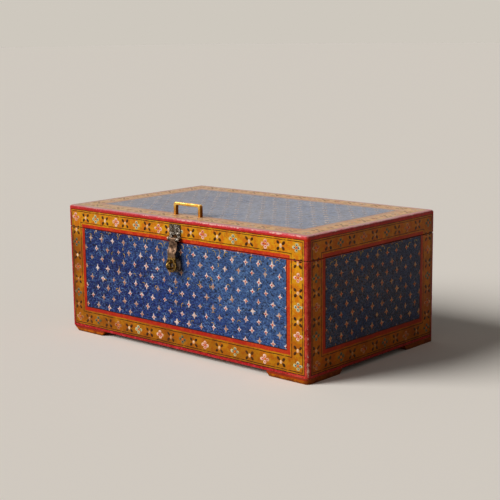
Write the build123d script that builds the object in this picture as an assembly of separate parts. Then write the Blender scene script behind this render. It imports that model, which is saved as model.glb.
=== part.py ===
from build123d import *
import os
from math import radians, tan

# A small painted wooden chest: dovetailed carcase, skirted lid on two butt hinges, strap hasp,
# staple and pull. Millimetres. +X runs along the front to the right, +Y from the front to the
# back, +Z up. The origin is on the floor, at the middle of the whole chest, fittings included.

os.makedirs("parts", exist_ok=True)

# ---------------------------------------------------------------- driving dimensions

# Chest
chest_length = 406.0
chest_depth = 252.0
chest_height = 169.0
lid_height = 28.4
wall_thickness = 14.0
top_thickness = 12.0
bottom_thickness = 9.0
bottom_lip = 5.0
corner_radius = 4.5
lid_edge_radius = 3.0
edge_ease = 0.7
seam_gap = 0.5

# Corner dovetails: tails on the front and back boards, pins on the ends
carcase_tails = 4
carcase_pin_width = 9.0
lid_tails = 1
lid_pin_width = 6.0
dovetail_slope = 1 / 6

# Feet
foot_height = 6.0
foot_length = 62.0
foot_end_width = 18.0
foot_end_chamfer = 4.5

# The front left corner is worn away at the floor, by so much along the front, back and up
worn_length = 12.0
worn_depth = 24.0
worn_height = 9.0

# Lid hinges
lid_opening = 105.0
hinge_length = 38.0
hinge_end_distance = 78.0
hinge_axis_inset = 2.0
hinge_leaf_width = 10.5
hinge_leaf_thickness = 1.2
hinge_pin_radius = 1.3
hinge_knuckles = 5
hinge_screw_spacing = 12.0
hinge_screw_count = 3
hinge_screw_radius = 1.2
hinge_screw_head_radius = 2.3
hinge_screw_length = 11.0
screw_slot_width = 0.6
screw_slot_depth = 0.5

# Hasp, on one centre line with the staple
hasp_offset = -3.0
hasp_plate_width = 18.0
hasp_plate_top = 7.0
hasp_plate_thickness = 1.4
hasp_plate_corner = 1.8
hasp_axis_drop = 24.5
hasp_barrel_width = 19.8
hasp_middle_knuckle = 8.2
hasp_pin_radius = 1.1
hasp_pin_overhang = 0.5
strap_thickness = 1.4
strap_top_width = 13.6
strap_waist_width = 12.8
strap_stand_off = 6.8
strap_crank_start = 9.0
strap_crank_length = 9.0
strap_lobe_drop = 31.5
strap_lobe_radius = 8.6
strap_rim_width = 1.3
strap_rim_height = 0.8
strap_slot_width = 5.0
strap_shoulder_radius = 1.5
strap_lobe_fillet = 3.0
hasp_nail_length = 9.0
hasp_nail_radius = 0.8
hasp_nail_head_radius = 1.5
hasp_nail_head_height = 0.8
hasp_nail_margin = 3.8

# Staple and its rose
staple_wire = 2.6
staple_width = 10.1
staple_reach = 17.0
staple_depth = 11.0
rose_radius = 9.4
rose_rim_thickness = 1.2
rose_step_radius = 8.6
rose_top_radius = 6.4
rose_edge = 0.6

# Pull on the lid
pull_offset = -7.0
pull_width = 46.0
pull_height = 15.6
pull_leg = 4.2
pull_bar = 3.6
pull_depth = 5.0
pull_corner = 3.6
pull_inner_corner = 1.8
pull_edge = 0.8
pull_set_back = 26.5
pull_screw_radius = 1.25
pull_screw_engagement = 8.0
pull_screw_head_radius = 2.6
pull_screw_head_height = 1.8
pull_washer_radius = 4.0
pull_washer_thickness = 0.8

# Hand-forged nails
nail_shank = 1.8
nail_tip = 0.7
nail_head = 3.6
nail_head_height = 0.8
bottom_nail_length = 19.0
foot_nail_length = 14.0
lid_nail_length = 22.0
nail_cover = 1.0
nails_per_long_side = 4
nails_per_short_side = 2
nail_end_distance = 40.0
foot_nail_inset = 21.0

# Clearances
hinge_pin_clearance = 0.05
knuckle_gap = 0.25
barrel_recess_clearance = 0.4
strap_slot_clearance = 1.6
strap_notch_clearance = 2.4
strap_rose_gap = 0.3
pull_screw_clearance = 0.2

# ---------------------------------------------------------------- places worked out from them

hinge_bore = hinge_pin_radius + hinge_pin_clearance
hinge_knuckle_radius = hinge_bore + hinge_leaf_thickness
hasp_bore = hasp_pin_radius + hinge_pin_clearance
hasp_knuckle_radius = hasp_bore + hasp_plate_thickness

# The overall envelope is centred on the origin, so the wood is moved by half of what
# the staple stands out in front beyond what the hinge barrels stand out behind.
front_overhang = staple_reach
back_overhang = max(0.0, hinge_knuckle_radius - hinge_axis_inset)
depth_shift = (front_overhang - back_overhang) / 2

front_y = depth_shift - chest_depth / 2
back_y = depth_shift + chest_depth / 2
half_length = chest_length / 2
inner_half_length = half_length - wall_thickness

seam_z = chest_height - lid_height
carcase_bottom = foot_height
carcase_top = seam_z - seam_gap / 2
lid_bottom = seam_z + seam_gap / 2
lid_rail_top = chest_height - top_thickness

hinge_axis_y = back_y - hinge_axis_inset
hinge_centres = [-half_length + hinge_end_distance, half_length - hinge_end_distance]

hasp_axis_y = front_y - hasp_knuckle_radius
hasp_axis_z = chest_height - hasp_axis_drop
strap_face_y = front_y - strap_stand_off - strap_thickness
staple_z = hasp_axis_z - strap_lobe_drop
pull_y = front_y + pull_set_back
pull_leg_x = pull_width / 2 - pull_leg / 2

# ---------------------------------------------------------------- helpers


def block(x0, x1, y0, y1, z0, z1):
    """A box between two corners."""
    middle = Pos((x0 + x1) / 2, (y0 + y1) / 2, (z0 + z1) / 2)
    return middle * Box(x1 - x0, y1 - y0, z1 - z0)


def rod_x(radius, x0, x1, y, z):
    """A cylinder along X."""
    return Pos((x0 + x1) / 2, y, z) * Rot(0, 90, 0) * Cylinder(radius, x1 - x0)


def prism_x(points, x0, x1):
    """A prism along X over an outline given as (y, z) points."""
    outline = Plane.YZ.offset(x0) * Polygon(*points, align=None)
    return extrude(outline, x1 - x0, dir=(1, 0, 0))


def evenly(first, last, count):
    """Places from first to last, both included."""
    return [first + (last - first) * i / (count - 1) for i in range(count)]


def save(name, *shapes):
    """Writes one node: a single solid, or a group of separate ones."""
    solids = [solid for shape in shapes for solid in shape.solids()]
    node = solids[0] if len(solids) == 1 else Compound(children=solids)
    node.label = name
    export_step(node, f"parts/{name}.step")


# ---------------------------------------------------------------- fasteners


def nail(length):
    """A square tapered nail: its head's top is at the origin and its point is down."""
    head = Pos(0, 0, -nail_head_height / 2) * Box(nail_head, nail_head, nail_head_height)
    root = Pos(0, 0, -nail_head_height) * Rectangle(nail_shank, nail_shank)
    point = Pos(0, 0, -length) * Rectangle(nail_tip, nail_tip)
    return head + loft([root, point])


def nail_places(inset, inset_long):
    """Nail centres round the chest, an inset in from the outer faces."""
    places = []
    for x in evenly(-half_length + nail_end_distance, half_length - nail_end_distance, nails_per_long_side):
        places += [(x, front_y + inset_long), (x, back_y - inset_long)]
    for y in evenly(front_y + nail_end_distance, back_y - nail_end_distance, nails_per_short_side):
        places += [(-half_length + inset, y), (half_length - inset, y)]
    return places


def domed_nail():
    """A round nail with a domed head, which holds the hasp's plate: the head's top is at the origin."""
    rim = (hasp_nail_head_radius, -hasp_nail_head_height)
    crown = ThreePointArc((0, 0), (0.6 * rim[0], 0.2 * rim[1]), rim)
    sides = Polyline(
        rim,
        (hasp_nail_radius, rim[1]),
        (hasp_nail_radius, -hasp_nail_length + 2 * hasp_nail_radius),
        (0, -hasp_nail_length),
        (0, 0),
    )
    return revolve(Plane.XZ * make_face([crown, *sides.edges()]), Axis.Z)


def countersunk_screw_body():
    """A countersunk wood screw without its slot: head's face at the origin, point down."""
    head_height = hinge_screw_head_radius - hinge_screw_radius
    point_height = hinge_screw_radius * 2
    half = Polyline(
        (0, 0),
        (hinge_screw_head_radius, 0),
        (hinge_screw_radius, -head_height),
        (hinge_screw_radius, -hinge_screw_length + point_height),
        (0, -hinge_screw_length),
        close=True,
    )
    return revolve(Plane.XZ * make_face(half), Axis.Z)


# ---------------------------------------------------------------- boards


def tail_prisms(bottom, top, count, pin_width):
    """Dovetail tails at both ends of the length, running through the whole depth."""
    pitch = (top - bottom) / count
    outer = pitch - pin_width
    inner = outer - 2 * dovetail_slope * wall_thickness
    tails = []
    for end in (-1, 1):
        for i in range(count):
            z = bottom + (i + 0.5) * pitch
            points = [
                (end * half_length, z - outer / 2),
                (end * half_length, z + outer / 2),
                (end * inner_half_length, z + inner / 2),
                (end * inner_half_length, z - inner / 2),
            ]
            outline = Plane.XZ.offset(-front_y) * Polygon(*points, align=None)
            tails.append(extrude(outline, chest_depth, dir=(0, 1, 0)))
    return tails


def dovetailed_walls(bottom, top, count, pin_width):
    """Front, back, left and right boards that lock into each other at the corners."""
    tails = tail_prisms(bottom, top, count, pin_width)
    core = block(-inner_half_length, inner_half_length, front_y, back_y, bottom, top)
    tailed = core + tails
    front = block(-half_length, half_length, front_y, front_y + wall_thickness, bottom, top) & tailed
    back = block(-half_length, half_length, back_y - wall_thickness, back_y, bottom, top) & tailed
    left = block(-half_length, -inner_half_length, front_y, back_y, bottom, top) - front - back
    right = block(inner_half_length, half_length, front_y, back_y, bottom, top) - front - back
    return front, back, left, right


def outer_form(bottom, top):
    """The block that the finished outside is worked to, with its corners rounded and its rims eased."""
    plan = Pos(0, depth_shift, bottom) * RectangleRounded(chest_length, chest_depth, corner_radius)
    form = extrude(plan, top - bottom)
    return chamfer(form.edges().group_by(Axis.Z)[0], edge_ease)


def hinge_bevel(side):
    """What is planed off a back edge at the seam: side is -1 on the carcase and 1 on the lid.
    The two bevels make a V that the barrels lie in, and they close on each other as the lid's stop."""
    edge_z = seam_z + side * seam_gap / 2
    beyond = hinge_axis_inset + 1
    drop = beyond * tan(radians(lid_opening / 2))
    points = [
        (hinge_axis_y, edge_z),
        (hinge_axis_y, edge_z - side * seam_gap),
        (hinge_axis_y + beyond, edge_z - side * seam_gap),
        (hinge_axis_y + beyond, edge_z + side * drop),
    ]
    return prism_x(points, -half_length - 1, half_length + 1)


carcase_form = outer_form(carcase_bottom, carcase_top)
carcase_form = chamfer(carcase_form.edges().group_by(Axis.Z)[-1], edge_ease)
lid_form = outer_form(lid_bottom, chest_height)
lid_form = fillet(lid_form.edges().group_by(Axis.Z)[-1], lid_edge_radius)

# The bottom board is let into a rebate round the foot of the walls.
rebate_inset = wall_thickness - bottom_lip
bottom_board = block(
    -half_length + rebate_inset,
    half_length - rebate_inset,
    front_y + rebate_inset,
    back_y - rebate_inset,
    carcase_bottom,
    carcase_bottom + bottom_thickness,
)
top_board = block(-half_length, half_length, front_y, back_y, lid_rail_top, chest_height) & lid_form

# ---------------------------------------------------------------- feet


def foot(end, side):
    """A low corner block: end is -1 left and 1 right, side is -1 front and 1 back."""
    corner_x = end * half_length
    corner_y = front_y if side < 0 else back_y
    across = [
        (0, 0),
        (foot_length, 0),
        (foot_length, foot_end_width),
        (foot_end_width, foot_length),
        (0, foot_length),
    ]
    points = [(corner_x - end * u, corner_y - side * v) for u, v in across]
    blank = extrude(Polygon(*points, align=None), foot_height, dir=(0, 0, 1))
    toe_x = corner_x - end * foot_length
    toe_y = corner_y - side * foot_length
    long_toe = [(toe_x, 0), (toe_x + end * foot_end_chamfer, 0), (toe_x, foot_end_chamfer)]
    deep_toe = [(toe_y, 0), (toe_y + side * foot_end_chamfer, 0), (toe_y, foot_end_chamfer)]
    long_cut = Plane.XZ.offset(-front_y) * Polygon(*long_toe, align=None)
    blank -= extrude(long_cut, chest_depth, dir=(0, 1, 0))
    blank -= prism_x(deep_toe, -half_length, half_length)
    plan = Pos(0, depth_shift, 0) * RectangleRounded(chest_length, chest_depth, corner_radius)
    return blank & extrude(plan, foot_height)


foot_names = {
    (-1, -1): "foot_front_left",
    (1, -1): "foot_front_right",
    (-1, 1): "foot_back_left",
    (1, 1): "foot_back_right",
}
feet = {name: foot(end, side) for (end, side), name in foot_names.items()}

foot_nails = []
for end, side in foot_names:
    corner_x = end * half_length
    corner_y = front_y if side < 0 else back_y
    for u, v in ((foot_nail_inset * 2, wall_thickness / 2), (wall_thickness / 2, foot_nail_inset * 2)):
        place = Pos(corner_x - end * u, corner_y - side * v, nail_cover)
        foot_nails.append(place * Rot(180, 0, 0) * nail(foot_nail_length))

bottom_nail_inset = rebate_inset + bottom_lip / 2
bottom_nails = [
    Pos(x, y, carcase_bottom) * Rot(180, 0, 0) * nail(bottom_nail_length)
    for x, y in nail_places(bottom_nail_inset, bottom_nail_inset)
]
lid_nails = [
    Pos(x, y, chest_height - nail_cover) * nail(lid_nail_length)
    for x, y in nail_places(wall_thickness / 2, wall_thickness / 2)
]

# ---------------------------------------------------------------- lid hinges


def knuckle_spans(centre):
    """The X span of each knuckle of a hinge, from left to right."""
    pitch = hinge_length / hinge_knuckles
    start = centre - hinge_length / 2
    half_gap = knuckle_gap / 2
    return [
        (start + i * pitch + half_gap, start + (i + 1) * pitch - half_gap)
        for i in range(hinge_knuckles)
    ]


def hinge_plate(centre, side):
    """The flat part of a leaf, let into the edge of the wood: side is -1 on the carcase and 1 on the lid."""
    face = seam_z + side * seam_gap / 2
    back = face + side * hinge_leaf_thickness
    return block(
        centre - hinge_length / 2,
        centre + hinge_length / 2,
        hinge_axis_y - hinge_leaf_width,
        hinge_axis_y,
        min(face, back),
        max(face, back),
    )


def hinge_screw_places(centre, side):
    """Where a leaf's screws stand, heads level with the leaf."""
    reach = hinge_screw_spacing * (hinge_screw_count - 1) / 2
    y = hinge_axis_y - (hinge_leaf_width + hinge_knuckle_radius) / 2
    z = seam_z + side * seam_gap / 2
    turn = Rot(180, 0, 0) if side > 0 else Rot(0, 0, 0)
    return [Pos(x, y, z) * turn for x in evenly(centre - reach, centre + reach, hinge_screw_count)]


def hinge_screws(side):
    """The screws of both hinges' leaves on one side of the seam, before they are slotted."""
    places = [place for centre in hinge_centres for place in hinge_screw_places(centre, side)]
    return [place * countersunk_screw_body() for place in places]


def slotted(screws, side):
    """Those screws with their slots cut."""
    places = [place for centre in hinge_centres for place in hinge_screw_places(centre, side)]
    slot = Box(2 * hinge_screw_head_radius, screw_slot_width, 2 * screw_slot_depth)
    return [screw - place * slot for screw, place in zip(screws, places)]


def hinge_leaf(centre, side):
    """One leaf with its rolled knuckles. The carcase leaf has the odd ones, the lid leaf those between."""
    spans = knuckle_spans(centre)
    own = spans[0::2] if side < 0 else spans[1::2]
    other = spans[1::2] if side < 0 else spans[0::2]
    leaf = hinge_plate(centre, side)
    for x0, x1 in other:
        leaf -= rod_x(
            hinge_knuckle_radius + knuckle_gap,
            x0 - knuckle_gap,
            x1 + knuckle_gap,
            hinge_axis_y,
            seam_z,
        )
    for x0, x1 in own:
        leaf += rod_x(hinge_knuckle_radius, x0, x1, hinge_axis_y, seam_z)
    leaf -= rod_x(hinge_bore, spans[0][0] - 1, spans[-1][1] + 1, hinge_axis_y, seam_z)
    for place in hinge_screw_places(centre, side):
        leaf -= place * countersunk_screw_body()
    return leaf


def hinge_pin(centre):
    """The pin, as long as the barrel."""
    return rod_x(hinge_pin_radius, centre - hinge_length / 2, centre + hinge_length / 2, hinge_axis_y, seam_z)


def barrel_recess(centre):
    """The room that the barrel turns in."""
    reach = hinge_length / 2 + barrel_recess_clearance
    radius = hinge_knuckle_radius + barrel_recess_clearance
    return rod_x(radius, centre - reach, centre + reach, hinge_axis_y, seam_z)


# ---------------------------------------------------------------- hasp

hasp_x = hasp_offset
outer_knuckle = (hasp_barrel_width - hasp_middle_knuckle) / 2 - knuckle_gap
hasp_left = hasp_x - hasp_barrel_width / 2
hasp_right = hasp_x + hasp_barrel_width / 2
middle_left = hasp_x - hasp_middle_knuckle / 2
middle_right = hasp_x + hasp_middle_knuckle / 2
hasp_plate_top_z = chest_height - hasp_plate_top


def hasp_nail_places():
    """Two nails near the plate's top and two above its barrel."""
    across = hasp_plate_width / 2 - hasp_nail_margin
    low = hasp_axis_z + hasp_knuckle_radius + hasp_nail_margin
    high = hasp_plate_top_z - hasp_nail_margin
    face = front_y - hasp_plate_thickness - hasp_nail_head_height
    turn = Rot(90, 0, 0)
    return [Pos(hasp_x + u, face, z) * turn for u in (-across, across) for z in (low, high)]


def hasp_plate_blank():
    """The plate on the lid, rolled into a knuckle at each side of the strap's."""
    height = hasp_plate_top_z - hasp_axis_z
    middle_z = (hasp_plate_top_z + hasp_axis_z) / 2
    outline = RectangleRounded(hasp_plate_width, height, hasp_plate_corner)
    squared_foot = Pos(0, -height / 4) * Rectangle(hasp_plate_width, height / 2)
    face = Plane.XZ * Pos(hasp_x, middle_z) * (outline + squared_foot)
    plate = extrude(Pos(0, front_y - hasp_plate_thickness, 0) * face, hasp_plate_thickness, dir=(0, 1, 0))
    notch_top = hasp_axis_z + hasp_knuckle_radius + strap_notch_clearance
    plate -= block(
        middle_left - knuckle_gap,
        middle_right + knuckle_gap,
        front_y - hasp_plate_thickness,
        front_y,
        hasp_axis_z,
        notch_top,
    )
    for x0, x1 in ((hasp_left, hasp_left + outer_knuckle), (hasp_right - outer_knuckle, hasp_right)):
        plate += rod_x(hasp_knuckle_radius, x0, x1, hasp_axis_y, hasp_axis_z)
    return plate - rod_x(hasp_bore, hasp_left - 1, hasp_right + 1, hasp_axis_y, hasp_axis_z)


def hasp_pin():
    """The pin, riveted over a little beyond the barrel at each end."""
    left = hasp_left - hasp_pin_overhang
    right = hasp_right + hasp_pin_overhang
    return rod_x(hasp_pin_radius, left, right, hasp_axis_y, hasp_axis_z)


def strap_outline():
    """The strap seen from the front: a neck, square shoulders, a waist and a round lobe."""
    shoulder = hasp_knuckle_radius + knuckle_gap
    half_top = strap_top_width / 2
    half_waist = strap_waist_width / 2
    bar = Polygon(
        (-half_top, -shoulder),
        (-half_waist, -strap_lobe_drop),
        (half_waist, -strap_lobe_drop),
        (half_top, -shoulder),
        align=None,
    )
    bar = fillet(bar.vertices().group_by(Axis.Y)[-1], strap_shoulder_radius)
    neck_length = shoulder + strap_shoulder_radius
    neck = Pos(0, -neck_length / 2) * Rectangle(hasp_middle_knuckle, neck_length)
    outline = bar + neck + Pos(0, -strap_lobe_drop) * Circle(strap_lobe_radius)
    above_lobe = strap_lobe_radius / 2 - strap_lobe_drop
    joins = [v for v in outline.vertices() if above_lobe < v.Y < strap_lobe_radius - strap_lobe_drop]
    return fillet(joins, strap_lobe_fillet)


def strap_bend():
    """The strap seen from the side: it leaves the front of its knuckle and is cranked out, so that
    its lobe lies on the staple's rose."""
    upper = hasp_axis_y - hasp_knuckle_radius
    lower = strap_face_y
    bend_top = hasp_axis_z - strap_crank_start
    bend_foot = bend_top - strap_crank_length
    end = staple_z - strap_lobe_radius - 1
    bend = Spline((upper, bend_top), (lower, bend_foot), tangents=[(0, -1), (0, -1)])
    front = [Line((upper, hasp_axis_z), (upper, bend_top)), bend, Line((lower, bend_foot), (lower, end))]
    back = [Pos(strap_thickness, 0) * edge for edge in front]
    top = Line((upper, hasp_axis_z), (upper + strap_thickness, hasp_axis_z))
    foot_line = Line((lower, end), (lower + strap_thickness, end))
    profile = Plane.YZ.offset(hasp_x - strap_lobe_radius) * make_face(front + back + [top, foot_line])
    return extrude(profile, 2 * strap_lobe_radius, dir=(1, 0, 0))


def hasp_strap():
    """The swinging strap, with a raised rim round its lobe and a slot that drops over the staple."""
    blank_y = min(strap_face_y, hasp_axis_y - hasp_knuckle_radius) - 1
    outline = Plane.XZ.offset(-blank_y) * Pos(hasp_x, hasp_axis_z) * strap_outline()
    strap = extrude(outline, front_y - blank_y, dir=(0, 1, 0)) & strap_bend()
    rim = Circle(strap_lobe_radius) - Circle(strap_lobe_radius - strap_rim_width)
    rim_face = Plane.XZ.offset(-strap_face_y) * Pos(hasp_x, staple_z) * rim
    strap += extrude(rim_face, strap_rim_height, dir=(0, -1, 0))
    strap += rod_x(hasp_knuckle_radius, middle_left, middle_right, hasp_axis_y, hasp_axis_z)
    strap -= rod_x(hasp_bore, middle_left - 1, middle_right + 1, hasp_axis_y, hasp_axis_z)
    slot_height = staple_width + 2 * strap_slot_clearance
    slot = Plane.XZ.offset(-strap_face_y) * Pos(hasp_x, staple_z) * Rot(0, 0, 90) * SlotOverall(
        slot_height, strap_slot_width
    )
    return strap - extrude(slot, strap_thickness, dir=(0, 1, 0))


def staple():
    """A wire loop driven into the front board, standing on edge so that a lock goes through sideways."""
    bend = (staple_width - staple_wire) / 2
    arch_y = front_y - staple_reach + staple_wire / 2 + bend
    tip_y = front_y + staple_depth
    path = (
        Line((tip_y, staple_z - bend), (arch_y, staple_z - bend))
        + ThreePointArc((arch_y, staple_z - bend), (arch_y - bend, staple_z), (arch_y, staple_z + bend))
        + Line((arch_y, staple_z + bend), (tip_y, staple_z + bend))
    )
    path = Plane.YZ.offset(hasp_x) * path
    wire = Plane(origin=path @ 0, z_dir=path % 0) * Circle(staple_wire / 2)
    loop = sweep(wire, path=path)
    point_edges = loop.edges().group_by(Axis.Y)[-1]
    return chamfer(point_edges, staple_wire / 2 * 0.8)


def staple_rose():
    """A turned rose round the staple's root: a flat rim, then a hollow flank up to the seat that the
    strap's lobe lies on."""
    seat = strap_stand_off - strap_rose_gap
    rim = Polyline(
        (0, seat),
        (0, 0),
        (rose_radius, 0),
        (rose_radius, rose_rim_thickness),
        (rose_step_radius, rose_rim_thickness),
    )
    flank = Spline(
        (rose_step_radius, rose_rim_thickness),
        (rose_top_radius, seat - rose_edge),
        tangents=[(-1, 1), (0, 1)],
    )
    top = Polyline((rose_top_radius, seat - rose_edge), (rose_top_radius - rose_edge, seat), (0, seat))
    turned = revolve(Plane.XZ * make_face([*rim.edges(), flank, *top.edges()]), Axis.Z)
    return Pos(hasp_x, front_y, staple_z) * Rot(90, 0, 0) * turned


# ---------------------------------------------------------------- pull


def pull():
    """A cast bridge pull: two square legs and a bar, with softened edges."""
    outer_face = Pos(0, pull_height / 2) * Rectangle(pull_width, pull_height)
    outer_face = fillet(outer_face.vertices().group_by(Axis.Y)[-1], pull_corner)
    gap_width = pull_width - 2 * pull_leg
    gap_height = pull_height - pull_bar
    gap = Pos(0, gap_height / 2) * Rectangle(gap_width, gap_height)
    gap = fillet(gap.vertices().group_by(Axis.Y)[-1], pull_inner_corner)
    side_plane = Plane.XZ.offset(-pull_y + pull_depth / 2)
    profile = side_plane * Pos(pull_offset, chest_height) * (outer_face - gap)
    casting = extrude(profile, pull_depth, dir=(0, 1, 0))
    arrises = [
        edge
        for face in casting.faces().filter_by(Axis.Y)
        for edge in face.edges()
        if edge.center().Z > chest_height + pull_edge
    ]
    return fillet(arrises, pull_edge)


def pull_screw():
    """A round-headed machine screw: the underside of its head at the origin, its end up."""
    shank_length = pull_washer_thickness + top_thickness + pull_screw_engagement
    head = Pos(0, 0, -pull_screw_head_height / 2) * Cylinder(pull_screw_head_radius, pull_screw_head_height)
    head = chamfer(head.edges().group_by(Axis.Z)[0], pull_screw_head_height * 0.5)
    slot = Pos(0, 0, -pull_screw_head_height) * Box(
        2 * pull_screw_head_radius, screw_slot_width, 2 * screw_slot_depth
    )
    shank = Pos(0, 0, shank_length / 2) * Cylinder(pull_screw_radius, shank_length)
    return head - slot + shank


pull_screw_places = [
    Pos(pull_offset + u, pull_y, lid_rail_top - pull_washer_thickness) for u in (-pull_leg_x, pull_leg_x)
]
pull_screws = [place * pull_screw() for place in pull_screw_places]
pull_washers = []
for place in pull_screw_places:
    disc = Pos(0, 0, pull_washer_thickness / 2) * Cylinder(pull_washer_radius, pull_washer_thickness)
    hole = Cylinder(pull_screw_radius + pull_screw_clearance, 4 * pull_washer_thickness)
    pull_washers.append(place * (disc - hole))
pull_casting = pull()
for screw in pull_screws:
    pull_casting -= screw
pull_holes = [
    place * Pos(0, 0, top_thickness / 2 + pull_washer_thickness)
    * Cylinder(pull_screw_radius + pull_screw_clearance, top_thickness + 2)
    for place in pull_screw_places
]

# ---------------------------------------------------------------- wear


def worn_corner():
    """What is worn off the front left corner at the floor: all that lies outside one slanting plane."""
    corner = (-half_length, front_y, 0)
    outward = (-1 / worn_length, -1 / worn_depth, -1 / worn_height)
    slope = Plane(origin=(corner[0] + worn_length, corner[1], corner[2]), z_dir=outward)
    reach = worn_length + worn_depth + worn_height
    return slope * Box(2 * reach, 2 * reach, reach, align=(Align.CENTER, Align.CENTER, Align.MIN))


# ---------------------------------------------------------------- fitting the pieces together


def carve(board, *cutters):
    """A board with its rebates, mortises and holes cut."""
    for cutter in cutters:
        board = board - cutter
    return board


hinges = {"hinge_left": hinge_centres[0], "hinge_right": hinge_centres[1]}
carcase_screws = hinge_screws(-1)
lid_screws = hinge_screws(1)
recesses = [barrel_recess(centre) for centre in hinge_centres]
carcase_mortises = [hinge_plate(centre, -1) for centre in hinge_centres]
lid_mortises = [hinge_plate(centre, 1) for centre in hinge_centres]
staple_loop = staple()
rose = carve(staple_rose(), staple_loop)
wear = worn_corner()
hasp_nails = [place * domed_nail() for place in hasp_nail_places()]
hasp_plate = carve(hasp_plate_blank(), *hasp_nails)

front, back, left, right = (
    board & carcase_form
    for board in dovetailed_walls(carcase_bottom, carcase_top, carcase_tails, carcase_pin_width)
)
carcase_nails = bottom_nails + foot_nails
carcase_bevel = hinge_bevel(-1)
front = carve(front, bottom_board, *carcase_nails, staple_loop, wear)
back = carve(back, bottom_board, *carcase_nails, carcase_bevel, *carcase_mortises, *recesses, *carcase_screws)
left = carve(left, bottom_board, *carcase_nails, carcase_bevel, wear)
right = carve(right, bottom_board, *carcase_nails, carcase_bevel)
bottom_board = carve(bottom_board, *carcase_nails)

lid_front, lid_back, lid_left, lid_right = (
    board & lid_form for board in dovetailed_walls(lid_bottom, lid_rail_top, lid_tails, lid_pin_width)
)
lid_bevel = hinge_bevel(1)
lid_front = carve(lid_front, *lid_nails, *hasp_nails)
lid_back = carve(lid_back, *lid_nails, lid_bevel, *lid_mortises, *recesses, *lid_screws)
lid_left = carve(lid_left, *lid_nails, lid_bevel)
lid_right = carve(lid_right, *lid_nails, lid_bevel)
top_board = carve(top_board, *lid_nails, *hasp_nails, *pull_holes)

# ---------------------------------------------------------------- nodes

save("front_board", front)
save("back_board", back)
save("left_board", left)
save("right_board", right)
save("bottom_board", bottom_board)
save("bottom_nails", *bottom_nails)
for name, corner_block in feet.items():
    save(name, carve(corner_block, *foot_nails, wear))
save("foot_nails", *foot_nails)

save("lid_top_board", top_board)
save("lid_front_rail", lid_front)
save("lid_back_rail", lid_back)
save("lid_left_rail", lid_left)
save("lid_right_rail", lid_right)
save("lid_nails", *lid_nails)

for name, centre in hinges.items():
    save(f"{name}_carcase_leaf", hinge_leaf(centre, -1))
    save(f"{name}_lid_leaf", hinge_leaf(centre, 1))
    save(f"{name}_pin", hinge_pin(centre))
save("hinge_carcase_screws", *slotted(carcase_screws, -1))
save("hinge_lid_screws", *slotted(lid_screws, 1))

save("hasp_plate", hasp_plate)
save("hasp_plate_nails", *hasp_nails)
save("hasp_pin", hasp_pin())
save("hasp_strap", hasp_strap())
save("staple", staple_loop)
save("staple_rose", rose)

save("pull", pull_casting)
save("pull_screws", *pull_screws)
save("pull_washers", *pull_washers)
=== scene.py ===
import math
import random
from collections import namedtuple

import bpy
from mathutils import Matrix, Vector


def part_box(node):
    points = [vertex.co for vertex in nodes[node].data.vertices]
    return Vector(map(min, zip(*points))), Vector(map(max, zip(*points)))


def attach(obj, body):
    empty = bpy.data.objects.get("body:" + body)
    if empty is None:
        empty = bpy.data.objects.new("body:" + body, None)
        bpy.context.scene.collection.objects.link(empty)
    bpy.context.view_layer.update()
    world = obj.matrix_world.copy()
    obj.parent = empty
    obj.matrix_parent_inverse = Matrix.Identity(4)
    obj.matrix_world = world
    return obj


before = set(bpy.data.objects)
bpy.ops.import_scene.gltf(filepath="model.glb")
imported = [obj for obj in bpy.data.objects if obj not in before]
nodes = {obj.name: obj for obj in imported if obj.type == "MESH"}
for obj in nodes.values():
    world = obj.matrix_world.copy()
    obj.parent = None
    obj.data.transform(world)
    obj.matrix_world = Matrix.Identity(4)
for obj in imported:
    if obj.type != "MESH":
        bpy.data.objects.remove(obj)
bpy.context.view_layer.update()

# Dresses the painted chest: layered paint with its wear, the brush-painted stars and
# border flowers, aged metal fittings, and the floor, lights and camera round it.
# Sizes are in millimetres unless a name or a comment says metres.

MM = 0.001

# ---------------------------------------------------------------- the chest's own sizes

lid_low, lid_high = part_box("lid_top_board")
carcase_low, carcase_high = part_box("front_board")

half_length = (lid_high.x - lid_low.x) / 2 / MM
half_depth = (lid_high.y - lid_low.y) / 2 / MM
middle_y = (lid_high.y + lid_low.y) / 2 / MM
length = 2 * half_length
depth = 2 * half_depth
front_y = middle_y - half_depth
back_y = middle_y + half_depth
height = lid_high.z / MM
seam_z = carcase_high.z / MM
lid_rail_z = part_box("lid_front_rail")[0].z / MM
foot_height = carcase_low.z / MM

plate_low, plate_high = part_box("hasp_plate")
strap_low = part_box("hasp_strap")[0]
hasp_x = (plate_low.x + plate_high.x) / 2 / MM
hasp_z = (plate_high.z + strap_low.z) / 2 / MM
hasp_half_width = (plate_high.x - plate_low.x) / 2 / MM
hasp_half_height = (plate_high.z - strap_low.z) / 2 / MM
strap_bottom = strap_low.z / MM
pull_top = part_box("pull")[1].z / MM

# The roundings of the upright arrises and of the lid's rim, and the height of the strap's round lobe.
CORNER_RADIUS = 4.5
LID_EDGE_RADIUS = 3.0
LOBE_RISE = 19.0

# ---------------------------------------------------------------- the painted layout

# Where the painted frame's colours end on each face, and its thin black lines, inwards from the edges.
RED_EDGE = 5.4
YELLOW_END = 26.0
INNER_RED_END = 31.2
BAND_LINES = (RED_EDGE + 0.2, RED_EDGE + 2.6, YELLOW_END - 2.3)
# The top band is squeezed a little so that it fits on the lid, and the lid's face is drawn wider.
TOP_BAND_SQUEEZE = 1.1
LID_FACE_STRETCH = 0.89
# The frame starts a little under the carcase, so the crimson along its foot is narrower than elsewhere.
FRAME_BOTTOM = 4.5

# The middles of the motifs, from the edge beside them, and the heights of the lowest row and of the place
# that an upright band's even spacing runs down to.
BAND_CENTRE = 14.6
LID_BAND_CENTRE = 17.3
LOW_ROW_Z = FRAME_BOTTOM + 15.2
UPRIGHTS_END_Z = FRAME_BOTTOM + 16.0

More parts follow.
